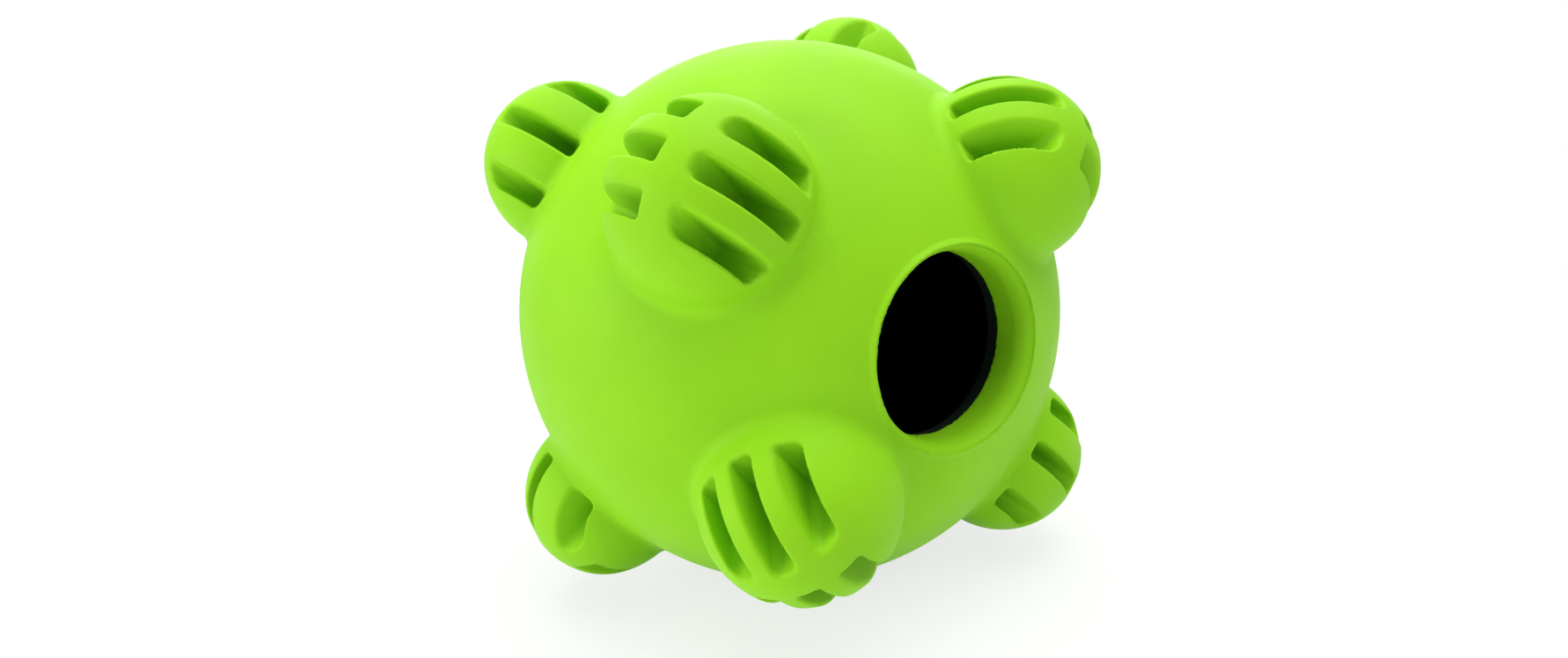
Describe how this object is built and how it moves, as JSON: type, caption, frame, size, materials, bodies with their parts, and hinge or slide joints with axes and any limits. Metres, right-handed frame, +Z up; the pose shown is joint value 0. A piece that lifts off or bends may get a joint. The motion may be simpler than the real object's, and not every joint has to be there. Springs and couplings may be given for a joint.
{
  "type": "treat ball",
  "caption": "Hollow rubber ball with slotted domes standing on it and a round opening into a dark treat chamber.",
  "frame": {"origin": "on the floor, under the middle of the whole shape's box; the ball's own centre is 37.5 mm above it and within 1.4 mm of it seen from above", "axes": "+Z up, -Y out of the mouth along its axis, +X to the right as seen facing the mouth"},
  "size_m": [0.0765, 0.0772, 0.0792],
  "materials": {
    "lime_rubber": "matte, fine moulded grain",
    "black_plastic": "matte"
  },
  "bodies": {
    "root": {"front_shell": "lime_rubber", "rear_shell": "lime_rubber", "chamber_front": "black_plastic", "chamber_rear": "black_plastic"}
  },
  "joints": []
}
